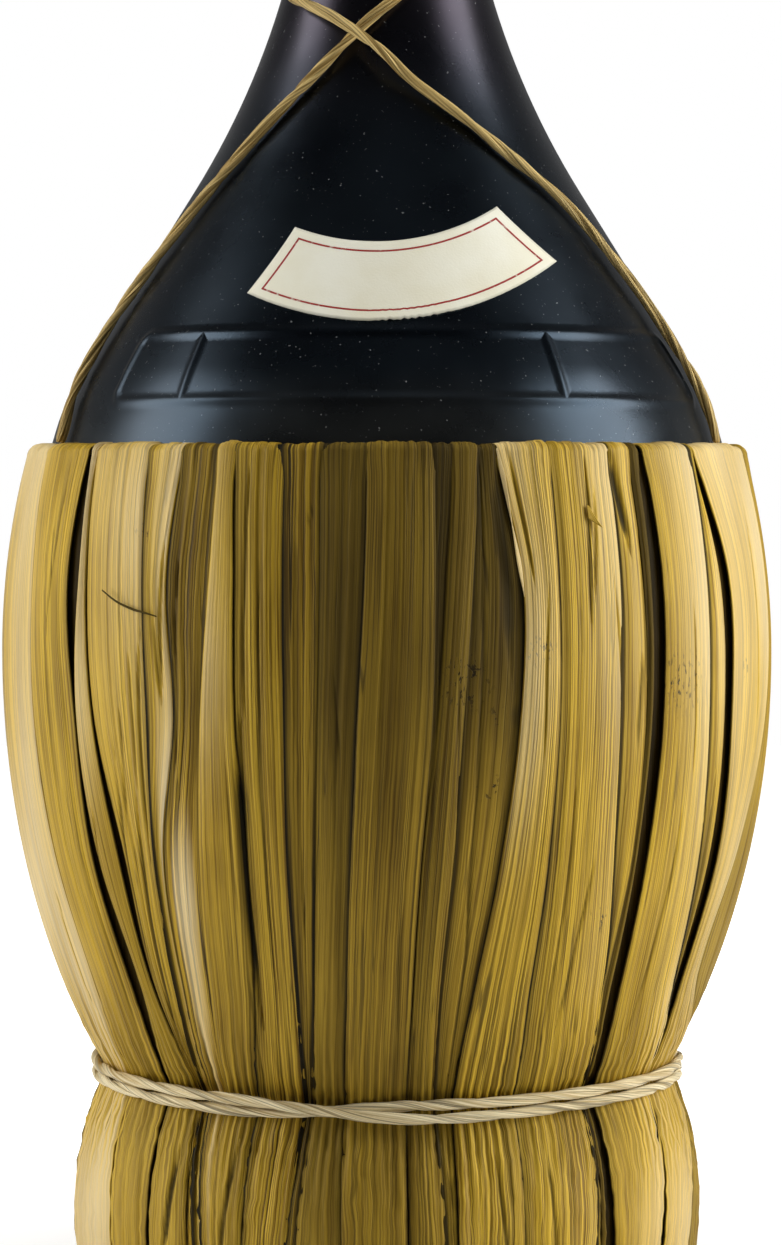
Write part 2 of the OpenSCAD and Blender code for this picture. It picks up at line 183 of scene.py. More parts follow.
UPPER_C = (BELLY_R - UPPER_R, BELLY_Z)
TURN_C = (UPPER_C[0] + (UPPER_R - TURN_R) * math.cos(TURN_SLOPE),
          UPPER_C[1] + (UPPER_R - TURN_R) * math.sin(TURN_SLOPE))
SHOULDER_LOW = (TURN_C[0] + TURN_R * math.cos(SHOULDER_SLOPE),
                TURN_C[1] + TURN_R * math.sin(SHOULDER_SLOPE))
FLARE_END_R = NECK_R + FLARE_R * (1 - math.cos(SHOULDER_SLOPE))
FLARE_Z = (SHOULDER_LOW[1] + (SHOULDER_LOW[0] - FLARE_END_R) / math.tan(SHOULDER_SLOPE)
           + FLARE_R * math.sin(SHOULDER_SLOPE))


def upper_line(depth):
    """The flask's line from the neck to the belly, moved in by a depth"""
    flare = arc((NECK_R + FLARE_R, FLARE_Z), FLARE_R + depth, math.pi, math.pi + SHOULDER_SLOPE, 28)
    shoulder = [(flare[-1][0] + (SHOULDER_LOW[0] - flare[-1][0]) * k / 8,
                 flare[-1][1] + (SHOULDER_LOW[1] - flare[-1][1]) * k / 8) for k in range(1, 8)]
    turn = arc(TURN_C, TURN_R - depth, SHOULDER_SLOPE, TURN_SLOPE, 8)
    upper = arc(UPPER_C, UPPER_R - depth, TURN_SLOPE, 0, 16)
    return flare + (shoulder if depth == 0 else []) + turn + upper[1:]


def bowl_line(across, down, end_r):
    """The egg-shaped bottom, from the belly to a last radius"""
    last = math.acos(end_r / across)
    angles = [last * i / 40 for i in range(1, 41)]
    return [(across * math.cos(a), BELLY_Z - down * math.sin(a)) for a in angles]


outside = upper_line(0) + bowl_line(BELLY_R, BOWL_DEPTH, BASE_R)


def glass_r(z):
    """Outside radius of the glass at a height"""
    line = [(NECK_R, FLASK_H)] + outside
    for (r0, z0), (r1, z1) in zip(line, line[1:]):
        if z1 <= z <= z0:
            return r1 + (r0 - r1) * (z - z1) / max(z0 - z1, 1e-9)
    return line[-1][0]


def glass_normal(z):
    """Outward direction (r, z) of the glass at a height"""
    lean = (glass_r(z + 0.5 * MM) - glass_r(z - 0.5 * MM)) / MM
    long = math.hypot(1, lean)
    return 1 / long, -lean / long


def around(azimuth, r, z):
    """The point at an azimuth in degrees, 0 at the front and growing to the right"""
    a = math.radians(azimuth)
    return Vector((r * math.sin(a), -r * math.cos(a), z))


def spun(name, line, steps):
    """Spins a line of (r, z) points round the axis into a closed piece"""
    bpy.ops.object.select_all(action="DESELECT")
    mesh = bpy.data.meshes.new(name)
    mesh.from_pydata([(r, 0, z) for r, z in line], [(k, k + 1) for k in range(len(line) - 1)], [])
    piece = bpy.data.objects.new(name, mesh)
    bpy.context.collection.objects.link(piece)
    bpy.context.view_layer.objects.active = piece
    piece.select_set(True)
    bpy.ops.object.mode_set(mode="EDIT")
    bpy.ops.mesh.select_all(action="SELECT")
    bpy.ops.mesh.spin(steps=steps, angle=2 * math.pi, center=(0, 0, 0), axis=(0, 0, 1))
    bpy.ops.mesh.select_all(action="SELECT")
    bpy.ops.mesh.remove_doubles(threshold=0.01 * MM)
    bpy.ops.mesh.normals_make_consistent(inside=False)
    bpy.ops.object.mode_set(mode="OBJECT")
    bpy.ops.object.shade_smooth_by_angle(angle=math.radians(35))
    return piece


lip_r = NECK_R + LIP_OUT
lip = arc((lip_r - 1.2 * MM, FLASK_H - 1.2 * MM), 1.2 * MM, math.pi / 2, 0, 5)
lip += arc((lip_r - 1.4 * MM, FLASK_H - LIP_H + 1.4 * MM), 1.4 * MM, 0, -math.pi / 3, 5)
lip += [(NECK_R + 0.1 * MM, FLASK_H - LIP_H - 0.4 * MM), (NECK_R, FLASK_H - LIP_H - 1.2 * MM)]
bottom_z = outside[-1][1]
heel = [(BASE_R - 1.5 * MM, bottom_z - 0.6 * MM), (BASE_R - HEEL, bottom_z - HEEL_DROP),
        (BASE_R * 0.4, bottom_z - HEEL_DROP + DIMPLE * 0.8), (0, bottom_z - HEEL_DROP + DIMPLE)]
mouth = [(BORE_R + MOUTH_CHAMFER + 0.4 * MM, FLASK_H), (BORE_R + 0.3 * MM, FLASK_H - 0.4 * MM),
         (BORE_R, FLASK_H - 1.4 * MM), (BORE_R, FLASK_H - BORE_DEPTH)]
inside = upper_line(WALL) + bowl_line(BELLY_R - WALL, BOWL_DEPTH - BASE_WALL, 0.5 * MM)
hollow = list(reversed(mouth + inside + [(0, inside[-1][1])]))
flask = spun("flask_glass", hollow + lip + outside + heel, 160)

# The panels on the shoulder are framed by soft raised beads, pressed out with the glass
BEAD_HALF, BEAD_OUT, BEAD_SOFT, BEAD_SUNK = 2.2 * MM, 0.26 * MM, 0.85 * MM, 0.015 * MM
PANEL_LOW, PANEL_HIGH = 164.6 * MM, 176.5 * MM
PANEL_BARS = (-54, -37, 31.2, 68)
CORNER = 2.2 * MM


def grid_piece(name, columns, rows, place, lay=None):
    """Adds a flat grid and takes each of its points to its own place on the object.
    Its map is laid in metres, so that grain and print keep their real size"""
    bpy.ops.object.select_all(action="DESELECT")
    bpy.ops.mesh.primitive_grid_add(x_subdivisions=columns, y_subdivisions=rows, size=1)
    piece = bpy.context.object
    piece.name = piece.data.name = name
    shares = [(v.co.x + 0.5, v.co.y + 0.5) for v in piece.data.vertices]
    for v, (across, along) in zip(piece.data.vertices, shares):
        v.co = place(across, along)
    if lay:
        flat = piece.data.uv_layers.active.data
        for corner in piece.data.loops:
            flat[corner.index].uv = lay(*shares[corner.vertex_index])
    bpy.ops.object.shade_smooth_by_angle(angle=math.radians(60))
    return piece


def face_out(piece):
    """Turns a sheet's faces away from the axis"""
    mesh = piece.data
    middle = mesh.polygons[len(mesh.polygons) // 2]
    if middle.normal.dot(Vector((middle.center.x, middle.center.y, 0.02 * MM))) < 0:
        mesh.flip_normals()
    mesh.update()


def apply_all(piece):
    """Applies every modifier of a piece"""
    bpy.ops.object.select_all(action="DESELECT")
    bpy.context.view_layer.objects.active = piece
    piece.select_set(True)
    for modifier in list(piece.modifiers):
        bpy.ops.object.modifier_apply(modifier=modifier.name)


def join(pieces, name):
    """Joins pieces into one of a given name"""
    bpy.ops.object.select_all(action="DESELECT")
    for piece in pieces:
        piece.select_set(True)
    bpy.context.view_layer.objects.active = pieces[0]
    bpy.ops.object.join()
    joined = bpy.context.object
    joined.name = joined.data.name = name
    return joined


def bead(name, track):
    """A raised bead of a soft round section along a track of (azimuth, z) points"""
    def place(across, along):
        k = along * (len(track) - 1)
        i = min(int(k), len(track) - 2)
        azimuth = track[i][0] + (track[i + 1][0] - track[i][0]) * (k - i)
        z = track[i][1] + (track[i + 1][1] - track[i][1]) * (k - i)
        r = glass_r(z)
        ahead = Vector((math.radians(track[i + 1][0] - track[i][0]) * r,
                        track[i + 1][1] - track[i][1]))
        ahead.normalize()
        offset = (across - 0.5) * 2 * BEAD_HALF
        azimuth += math.degrees(-ahead.y * offset / r)
        z += ahead.x * offset
        out = BEAD_OUT * math.exp(-(offset / BEAD_SOFT) ** 2) - BEAD_SUNK
        n = glass_normal(z)
        return around(azimuth, glass_r(z) + out * n[0], z + out * n[1])
    made = grid_piece(name, 14, len(track) * 2, place)
    face_out(made)
    return made


def rounded_frame(left, right, low, high):
    """The frame's own closed track, with round corners"""
    r = glass_r((low + high) / 2)
    turn = math.degrees(CORNER / r)
    track = []
    for a, z, start in ((right - turn, high - CORNER, 90), (right - turn, low + CORNER, 0),
                        (left + turn, low + CORNER, -90), (left + turn, high - CORNER, -180)):
        for k in range(7):
            angle = math.radians(start - 15 * k)
            track.append((a + turn * math.cos(angle), z + CORNER * math.sin(angle)))
    track.append(track[0])
    fine = []
    for (a0, z0), (a1, z1) in zip(track, track[1:]):
        steps = max(1, int(abs(a1 - a0) / 1.5))
        fine += [(a0 + (a1 - a0) * k / steps, z0 + (z1 - z0) * k / steps) for k in range(steps)]
    return fine + [track[-1]]


beads = [bead("frame_bead", rounded_frame(PANEL_BARS[0], PANEL_BARS[3], PANEL_LOW, PANEL_HIGH))]
for azimuth in PANEL_BARS[1:3]:
    upright = [(azimuth, PANEL_LOW + (PANEL_HIGH - PANEL_LOW) * k / 10) for k in range(11)]
    beads.append(bead("upright_bead", upright))
panel_beads = join(beads, "panel_beads")


def clouds(tree, source, scale, detail=2, rough=0.5):
    """Noise of a scale"""
    return node(tree, "ShaderNodeTexNoise", {
        "Vector": source, "Scale": scale, "Detail": detail, "Roughness": rough}).outputs["Fac"]


def bumped(tree, height, strength, distance):
    """A surface raised and sunk by a height"""
    return node(tree, "ShaderNodeBump", {
        "Height": height, "Strength": strength, "Distance": distance}).outputs["Normal"]


def new_group(name, inputs, outputs):
    """Adds a node group, and gives it with what comes in and the node that leads out"""
    made = bpy.data.node_groups.new(name, "ShaderNodeTree")
    for in_out, sockets in (("INPUT", inputs), ("OUTPUT", outputs)):
        for socket, kind in sockets.items():
            made.interface.new_socket(socket, in_out=in_out, socket_type="NodeSocket" + kind)
    return made, node(made, "NodeGroupInput").outputs, node(made, "NodeGroupOutput")


# Dust: sparse pale specks and a faint film, as masks
dust, enter, leave = new_group("dust", {"Place": "Vector", "Amount": "Float"},
                               {"Specks": "Float", "Film": "Float"})
spots = ranged(dust, clouds(dust, enter["Place"], 1900, 1), 0.73, 0.8)
feed(dust, leave, {"Specks": maths(dust, "MULTIPLY", spots, enter["Amount"]),
                   "Film": clouds(dust, enter["Place"], 60, 5)})

glass, tree, shader = finish("dark_flask_glass")
where = node(tree, "ShaderNodeTexCoord").outputs["Object"]
height = node(tree, "ShaderNodeSeparateXYZ", {0: where}).outputs["Z"]
specks = node(tree, "ShaderNodeGroup", {"Place": where, "Amount": 0.7}, node_tree=dust).outputs
film = maths(tree, "MULTIPLY", ranged(tree, height, 172 * MM, 156 * MM, 0, 1.6), specks["Film"])
film = mixed(tree, film, (0.001, 0.0013, 0.002, 1), (0.022, 0.022, 0.02, 1))
feed(tree, shader, {
    "Base Color": mixed(tree, specks["Specks"], film, (0.35, 0.36, 0.36, 1)),
    "Metallic": 0, "Transmission Weight": 0.25, "IOR": 1.5,
    "Specular Tint": mixed(tree, ranged(tree, height, 205 * MM, 240 * MM),
                           (0.5, 0.74, 1, 1), (0.92, 0.78, 1, 1)),
    "Roughness": ranged(tree, specks["Film"], 0.3, 0.7, 0.24, 0.34, "LINEAR"),
    "Normal": bumped(tree, clouds(tree, where, 38), 0.25, 0.6 * MM)})

for piece in (flask, panel_beads):
    coat(piece, glass)
    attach(piece, "bottle")
    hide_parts("glass_flask")


# The cork: one plug cut from bark, pressed into the bore to just under the mouth. Its
# ends are cut clean, with small dark pores all over.
CORK_R, CORK_TOP, CORK_LEN = 9.2 * MM, 339.5 * MM, 44 * MM
bpy.ops.object.select_all(action="DESELECT")
bpy.ops.mesh.primitive_cylinder_add(vertices=96, radius=CORK_R, depth=CORK_LEN,
                                    location=(0, 0, CORK_TOP - CORK_LEN / 2))
plug = bpy.context.object
plug.name = plug.data.name = "cork_plug"
bpy.ops.object.transform_apply(location=True)
round_off = plug.modifiers.new("round_off", "BEVEL")
round_off.width = 0.6 * MM
round_off.segments = 3
round_off.limit_method = "ANGLE"
apply_all(plug)
bpy.ops.object.shade_smooth_by_angle(angle=math.radians(40))


def ramp(tree, source, *stops):
    """A colour from a ramp between two stops, each a place and a colour"""
    made = node(tree, "ShaderNodeValToRGB", {"Fac": source})
    for element, (place, colour) in zip(made.color_ramp.elements, stops):
        element.position, element.color = place, colour
    return made.outputs["Color"]


bark, tree, shader = finish("natural_cork")
where = node(tree, "ShaderNodeTexCoord").outputs["Object"]
stretch = node(tree, "ShaderNodeMapping", {"Vector": where, "Scale": (1, 1, 0.45)})
pores = clouds(tree, stretch.outputs["Vector"], 420, 5)
feed(tree, shader, {
    "Base Color": ramp(tree, pores, (0.34, (0.09, 0.045, 0.02, 1)), (0.46, (0.52, 0.33, 0.17, 1))),
    "Roughness": 0.85, "Specular IOR Level": 0.2, "Normal": bumped(tree, pores, 0.6, 0.3 * MM)})
coat(plug, bark)
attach(plug, "stopper")
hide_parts("cork")


# The label: a smile-shaped slip of aged cream paper, glued on crooked, with one thin red
# border line. Its lower edge is a little torn.
LABEL_X, LABEL_Z = -1.9 * MM, 228.9 * MM
LABEL_TOP_R, LABEL_BOTTOM_R = 36.8 * MM, 50.9 * MM
LABEL_TOP_HALF, LABEL_BOTTOM_HALF, LABEL_TILT = 29, 32.5, 6.3
LABEL_OFF, PAPER_T = 0.34 * MM, 0.2 * MM
LABEL_H = LABEL_BOTTOM_R - LABEL_TOP_R
BORDER_IN, BORDER_HALF = 1.75 * MM, 0.17 * MM


def label_half(down):
    """Half the angle that the label spans, from its upper edge, 0, to its lower edge, 1"""
    return LABEL_TOP_HALF + (LABEL_BOTTOM_HALF - LABEL_TOP_HALF) * down


def label_place(across, along):
    """A point of the slip, at its shares across and up"""
    down = 1 - along
    torn = 0.05 * MM * noise.noise(Vector((across * 160, 9.1, 0)))
    torn -= 1.1 * MM * math.exp(-((across - 0.53) / 0.11) ** 4) * abs(
        noise.noise(Vector((across * 46, 1, 0))))
    radius = LABEL_TOP_R + LABEL_H * down + torn * max(0, (down - 0.8) / 0.2)
    angle = math.radians(-90 + LABEL_TILT + (2 * across - 1) * label_half(down))
    x = LABEL_X + radius * math.cos(angle)
    z = LABEL_Z + radius * math.sin(angle)
    n = glass_normal(z)
    lift = LABEL_OFF + 0.05 * MM * noise.noise(Vector((x, 0, z)) * 160)
    r = glass_r(z) + lift * n[0]
    return Vector((x, -math.sqrt(max(r * r - x * x, 0)), z + lift * n[1]))


slip = grid_piece("label_paper", 90, 26, label_place, lambda across, along: (
    (across - 0.5) * 2 * math.radians(label_half(1 - along)) * (LABEL_BOTTOM_R - LABEL_H * along),
    LABEL_H * along))
margin = slip.data.attributes.new("margin", "FLOAT_VECTOR", "POINT")
flat = {}
for corner in slip.data.loops:
    flat[corner.vertex_index] = slip.data.uv_layers.active.data[corner.index].uv.copy()
for index, uv in flat.items():
    half = math.radians(label_half(1 - uv[1] / LABEL_H)) * (LABEL_BOTTOM_R - uv[1])
    margin.data[index].vector = (half + uv[0], half - uv[0], uv[1])
face_out(slip)


def thicken(sheet, thickness):
    """Gives a sheet its thickness, inwards"""
    thick = sheet.modifiers.new("thick", "SOLIDIFY")
    thick.thickness = thickness
    thick.offset = -1
    apply_all(sheet)


thicken(slip, PAPER_T)

paper, tree, shader = finish("aged_paper")
where = node(tree, "ShaderNodeTexCoord").outputs["Object"]
margins = node(tree, "ShaderNodeAttribute", attribute_name="margin").outputs["Vector"]
gaps = node(tree, "ShaderNodeSeparateXYZ", {0: margins}).outputs
ends = maths(tree, "MINIMUM", gaps["Z"], maths(tree, "SUBTRACT", LABEL_H, gaps["Z"]))
inset = maths(tree, "MINIMUM", maths(tree, "MINIMUM", gaps["X"], gaps["Y"]), ends)
border = node(tree, "ShaderNodeMath", {0: inset, 1: BORDER_IN, 2: BORDER_HALF}, operation="COMPARE")
worn = ranged(tree, clouds(tree, where, 900), 0.18, 0.4, curve="LINEAR")
aged = ramp(tree, clouds(tree, where, 70, 6), (0.35, (0.9, 0.88, 0.74, 1)), (0.62, (0.84, 0.8, 0.62, 1)))
ruled = mixed(tree, maths(tree, "MULTIPLY", border.outputs[0], worn), aged, (0.33, 0.03, 0.025, 1))
dirty_rim = ranged(tree, inset, 0, 0.5 * MM, 0.7, 1, "LINEAR")
feed(tree, shader, {
    "Base Color": mixed(tree, 1, ruled, dirty_rim, "MULTIPLY"),
    "Roughness": 0.75, "Specular IOR Level": 0.25,
    "Normal": bumped(tree, clouds(tree, where, 2600, 3), 0.35, 0.1 * MM)})
coat(slip, paper)
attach(slip, "bottle")
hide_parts("label")


# The jacket: forty dried rush leaves laid side by side and over each other's edges. Each
# folds in over the rim to the glass, runs down the belly, in at the waist and out over the
# foot, and tucks under it.
RIM_Z, FOLD_R, WAIST_Z = 157.2 * MM, 2 * MM, 42.4 * MM
JACKET_OFF, SEAT, TOE_R, TUCK_LIFT, TUCK_R = 4 * MM, 0.3 * MM, 8 * MM, 0.8 * MM, 46 * MM
FOOT_R, FOOT_Z = 58.4 * MM, 16 * MM
WAIST_R = glass_r(WAIST_Z) + JACKET_OFF
FOOT_RISE = WAIST_Z - FOOT_Z
FOOT_CURVE_R = ((FOOT_R - WAIST_R) ** 2 + FOOT_RISE ** 2) / (2 * (FOOT_R - WAIST_R))
BELLY_JACKET_R = BELLY_R + JACKET_OFF
STEP = 1.6 * MM
LEAF_T = 0.28 * MM
LEVEL_DROP = 0.4 * MM
# In degrees: the seam between back leaves, and how far a leaf runs under its neighbour
SEAM, UNDER, EDGE_IN = 0.4, 1.4, 0.04


def jacket_r(z):
    """Outside radius of the jacket at a height"""
    if z > WAIST_Z:
        return glass_r(z) + JACKET_OFF
    return FOOT_R - FOOT_CURVE_R + math.sqrt(FOOT_CURVE_R ** 2 - (z - FOOT_Z) ** 2)


def jacket_line():
    """The jacket's outside from the glass at the rim to the tucked end, as points (r, z)"""
    fold_z = RIM_Z - FOLD_R
    fold_c = (jacket_r(fold_z) - FOLD_R, fold_z)
    toe_z = TUCK_LIFT + TOE_R
    toe_c = (jacket_r(toe_z) - TOE_R, toe_z)
    rim_r = glass_r(RIM_Z) + SEAT
    points = [(rim_r, RIM_Z), ((rim_r + fold_c[0]) / 2, RIM_Z)]
    points += arc(fold_c, FOLD_R, math.pi / 2, 0, 7)
    count = int((fold_z - toe_z) / STEP)
    heights = [fold_z + (toe_z - fold_z) * k / count for k in range(1, count)]
    points += [(jacket_r(z), z) for z in heights]
    points += arc(toe_c, TOE_R, math.radians(-12), -math.pi / 2, 9)
    return points + [((toe_c[0] + TUCK_R) / 2, TUCK_LIFT), (TUCK_R, TUCK_LIFT)]


line = jacket_line()
track = []
walked = 0
for k, (r, z) in enumerate(line):
    before, after = line[max(k - 1, 0)], line[min(k + 1, len(line) - 1)]
    lean = Vector((after[0] - before[0], after[1] - before[1])).normalized()
    walked += math.hypot(r - before[0], z - before[1])
    track.append((r, z, -lean.y, lean.x, walked))

# The edges of the front leaves, from the left round to the right, as azimuths at seven
# heights in millimetres, and then the edges that lie hidden under other leaves
FRONT_END, BACK_END, BACK_LEAVES, BACK_SWAY = 89.6, 276, 18, 0.16
EDGE_AT = (156, 134, 110, 86, 62, 42.4, 12)
EDGES = (
    (-66.6, -63.8, -62.6, -60.9, -58.7, -61.5, -58.2),  # 0
    (-52.3, -52.6, -50.4, -49.8, -47.3, -47.9, -47.1),  # 1
    (-51, -49.9, -49.9, -48.2, -44.9, -47.3, -46.2),  # 2
    (-49.8, -48.2, -46.4, -43.5, -41.8, -39.2, -37),  # 3
    (-49.7, -48.1, -46.1, -42.4, -41.6, -38.9, -36.8),  # 4
    (-38, -36.6, -35.4, -35.9, -36.5, -37.5, -35),  # 5
    (-31.8, -32.5, -31.1, -34.6, -35.5, -36.6, -33.7),  # 6
    (-25.6, -25.6, -26.8, -28.3, -29.8, -32.2, -31),  # 7
    (-22.8, -21.6, -21.3, -20.7, -21.8, -25.2, -26),  # 8
    (-15.1, -14.6, -14.1, -14.3, -14.4, -15.5, -18.1),  # 9
    (-9.7, -9.3, -9.6, -10.4, -12.1, -14.6, -16.3),  # 10
    (-2.7, -3.1, -4.2, -5.2, -6.5, -8, -7.5),  # 11
    (7.1, 6.8, 6.2, 4.9, 4, 3.6, 3.7),  # 12
    (9.4, 8.1, 6.7, 4.9, 4.1, 3.7, 3.9),  # 13
    (13.5, 12.1, 10.6, 9.9, 8.8, 9.4, 10.7),  # 14
    (16.3, 19, 18.5, 16.6, 14, 12.6, 12.3),  # 15
    (24.5, 24.5, 24.5, 24, 23.5, 24.8, 24.3),  # 16
    (35.2, 35.2, 34.9, 35.6, 38.3, 41.8, 39.7),  # 17
    (39.2, 39.4, 39.6, 39.2, 38.8, 42.2, 40.9),  # 18
    (40.9, 41, 40.9, 40.3, 40.2, 43.1, 42.4),  # 19
    (42, 42.7, 42.4, 41.6, 41.6, 44.1, 43.9),  # 20
    (53.3, 53, 53.2, 54.4, 56.6, 63.3, 57.4),  # 21
    (54.1, 57, 57.8, 58.2, 57.8, 62.9, 58.1),  # 22
    (54.4, 59.1, 59.5, 60.6, 59.4, 63.5, 58.9),  # 23
    (77.2, 78.2, 76.5, 69.3, 66, 84.2, 71.3),  # 24
    (BACK_END - 360,) * 7, (4.6,) * 7, (11, 9, 8, 7, 7, 6, 6), (FRONT_END,) * 7,  # 25 to 28
)
# Front leaves: which edges they lie between, their level in the overlap, 0 on top, their
# tone above and below, which holds painted shade on the darker middle and overlapped leaves
# and a painted sheen where it passes 0.95, their share of olive brown, and how deep their ribs are
FRONT = [
    (25, 0, 0, 1.28, 1.3, 0.0, 0.5), (0, 1, 0, 1.0, 0.92, 0.05, 0.4),
    (2, 3, 0, 1.35, 0.9, 0.0, 0.4), (4, 5, 0, 1.18, 0.95, 0.0, 0.6),
    (5, 6, 1, 1.1, 1.6, 0.05, 0.8), (6, 7, 2, 0.62, 1.4, 0.5, 1.4),
    (7, 8, 0, 1.08, 0.85, 0.05, 0.5), (8, 9, 1, 0.82, 0.95, 0.15, 1.2),
    (9, 10, 2, 0.66, 0.78, 0.45, 1.8), (10, 11, 1, 0.24, 0.56, 0.1, 0.4),
    (11, 12, 0, 0.38, 0.68, 0.4, 0.7), (26, 27, 2, 0.1, 0.4, 0.5, 0.5),
    (13, 14, 1, 0.3, 0.60, 0.3, 1.0), (14, 15, 2, 0.24, 0.8, 0.3, 0.9),
    (15, 16, 0, 1.2, 0.94, 0.0, 0.9), (16, 17, 1, 1.15, 0.98, 0.05, 1.2),
    (17, 18, 2, 1.2, 0.9, 0.0, 0.6), (18, 19, 2, 0.2, 0.4, 0.2, 0.2),
    (20, 21, 0, 1.2, 1.08, 0.0, 0.6), (21, 22, 1, 1.35, 0.75, 0.0, 0.5),
    (23, 24, 0, 1.34, 1.22, 0.0, 0.4), (24, 28, 1, 0.9, 0.65, 0.05, 0.4),
]


def back_edge(k):
    """Azimuth between two back leaves"""
    sway = BACK_SWAY * math.sin(math.radians(k * 137)) if 0 < k < BACK_LEAVES else 0
    return FRONT_END + (BACK_END - FRONT_END) / BACK_LEAVES * (k + sway)


def bent(a, b, c, d, t):
    """A smooth curve from b to c, led by its neighbours a and d"""
    return (2 * b + (c - a) * t + (2 * a - 5 * b + 4 * c - d) * t * t
            + (3 * b - a - 3 * c + d) * t ** 3) / 2


def curve_at(points, u):
    """A smooth curve through chosen points"""
    i = min(int(u), len(points) - 2)
    b, c = Vector(points[i]), Vector(points[i + 1])
    a = Vector(points[i - 1]) if i > 0 else 2 * b - c
    d = Vector(points[i + 2]) if i + 2 < len(points) else 2 * c - b
    return bent(a, b, c, d, u - i)


def edge_at(edge, z):
    """Azimuth of a leaf's edge at a height"""
    z = min(max(z / MM, EDGE_AT[-1]), EDGE_AT[0])
    i = max(k for k in range(6) if z <= EDGE_AT[k])
    t = (EDGE_AT[i] - z) / (EDGE_AT[i] - EDGE_AT[i + 1])
    return bent(edge[max(i - 1, 0)], edge[i], edge[i + 1], edge[min(i + 2, 6)], t)


rng = random.Random(7)
leaves = []
for k, (left, right, *look) in enumerate(FRONT):
    first, last = k == 0, k == len(FRONT) - 1
    under_left = first or FRONT[k - 1][1] == left and FRONT[k - 1][2] < look[0]
    under_right = last or FRONT[k + 1][0] == right and FRONT[k + 1][2] < look[0]
    leaves.append((EDGES[left], EDGES[right], under_left, under_right, *look))
for k in range(BACK_LEAVES):
    at_rim, at_waist = rng.uniform(-1, 1), rng.uniform(-2, 2)
    level = (0, 2, 1)[k % 3]
    sway = [at_rim, at_rim * 0.4, 0, 0, at_waist * 0.5, at_waist, at_waist]
    leaves.append(([back_edge(k) + SEAM / 2 + turn for turn in sway],
                   [back_edge(k + 1) - SEAM / 2 + turn for turn in sway], level > 0, level > 0,
                   level, rng.uniform(0.55, 1.1), rng.uniform(0.6, 1.05), rng.uniform(0.0, 0.4),
                   rng.uniform(0.4, 1.2)))


def ease(t):
    """Smooth step from 0 to 1"""
    t = min(max(t, 0), 1)
    return t * t * (3 - 2 * t)


# Splits and folds of single leaves: azimuth and height of both ends in degrees and
# millimetres, half width, depth in millimetres and how dark the painted shade in it is
SPLITS = [
    (-34.7, 129, -32.8, 113, 0.3, 0.2, 0.6), (-38.5, 123, -37.4, 96, 0.25, 0.2, 0.6),
    (-36.4, 126, -36.6, 86, 0.3, 0.25, 0.7), (-40.0, 113, -40.3, 90, 0.25, 0.2, 0.6),
    (-41.5, 104, -41.0, 60, 0.3, 0.25, 0.7), (-38.0, 96, -39.0, 48, 0.35, 0.3, 0.8),
    (-33.4, 142, -33.0, 112, 0.3, 0.25, 0.7), (-30.6, 150, -30.8, 90, 0.25, 0.2, 0.5),
    (-20.3, 158, -19.8, 108, 0.3, 0.25, 0.6), (-20.5, 111, -21.2, 56, 0.75, 0.7, 0.97),
    (-21.8, 68, -24.6, 30, 0.3, 0.2, 0.6), (-18.0, 150, -17.6, 60, 0.25, 0.15, 0.45),
    (-11.4, 143, -9.9, 147.5, 0.3, 0.2, 0.6), (-12.6, 156, -12.3, 60, 0.22, 0.15, 0.5),
    (-6.5, 156, -7.4, 30, 0.9, 0.1, 0.3), (13.9, 157, 11.2, 30, 0.3, 0.2, 0.6),
    (16.2, 157, 17.2, 118, 1.2, 0.3, 0.7), (18.0, 156, 20.8, 132, 0.3, 0.25, 0.7),
    (30.4, 156, 29.3, 124, 0.3, 0.25, 0.75), (31.6, 151, 30.0, 130, 0.25, 0.2, 0.6),
    (35.0, 156, 36.9, 139, 0.8, 0.5, 0.97), (33.4, 136, 36.2, 92, 0.25, 0.2, 0.5),
    (38.4, 122, 37.8, 104, 0.4, 0.2, 0.6), (27.5, 100, 27.0, 48, 0.25, 0.2, 0.5),
    (31.5, 88, 29.5, 52, 0.3, 0.2, 0.6), (47.6, 96, 46.4, 52, 0.3, 0.2, 0.5),
    (55.6, 100, 56.2, 60, 0.3, 0.25, 0.6), (2.2, 80, 1.6, 44, 0.25, 0.15, 0.4),
    (-56.0, 156, -57.5, 120, 0.3, 0.2, 0.5), (68.0, 150, 69.5, 100, 0.3, 0.1, 0.3),
    (-28.0, 36, -30.0, 12, 0.5, 0.4, 0.8), (20.0, 34, 21.5, 10, 0.4, 0.3, 0.7),
    (-40.5, 34, -42.5, 14, 0.6, 0.45, 0.9), (30.0, 36, 30.5, 8, 0.35, 0.3, 0.7),
]
# Places bitten by insects: azimuth, height and radius in millimetres
BITTEN = [
    (10.5, 117, 5), (21.3, 122, 3), (15.3, 111, 1.6), (14.3, 99, 2.5), (46, 116, 6),
    (63.3, 117.5, 2), (-37, 142, 2), (34, 75, 2.5), (120, 110, 5), (205, 90, 6), (250, 130, 4),
]


# What each point of a leaf holds: its tone with its painted shade and painted highlight in it,
# its share of olive brown, whether it is bitten and how deep its ribs are
LEAF_LOOK = ("tone_and_painted_light", "olive", "bitten", "ribbed")


